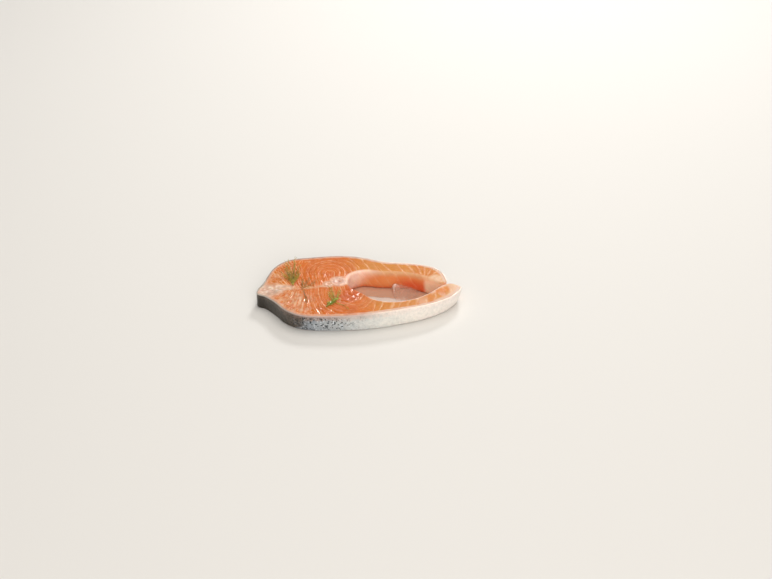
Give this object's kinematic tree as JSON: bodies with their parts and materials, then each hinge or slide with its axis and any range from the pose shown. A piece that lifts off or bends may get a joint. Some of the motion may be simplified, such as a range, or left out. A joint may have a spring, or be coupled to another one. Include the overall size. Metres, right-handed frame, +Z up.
{
  "type": "raw salmon steak",
  "caption": "Raw salmon steak: a flat cross-cut slice of fish with its backbone, an open belly cavity, speckled silver skin round the edge and sprigs of dill on top.",
  "frame": {"origin": "on the lower cut face, under the middle of the overall length and width", "axes": "+X from the back of the fish towards its belly, +Z up"},
  "size_m": [0.1818, 0.104, 0.0253],
  "materials": {
    "flesh": "wet raw salmon, orange with pale pink fat lines",
    "skin": "wet fish skin, dark grey back to silver white belly, black speckles",
    "bone": "damp cut bone, pale pink",
    "dill": "matt green leaf"
  },
  "bodies": {
    "root": {"flesh": "flesh", "skin": "skin", "backbone": "bone", "dill_sprig_1": "dill", "dill_sprig_2": "dill", "dill_sprig_3": "dill"}
  },
  "joints": []
}
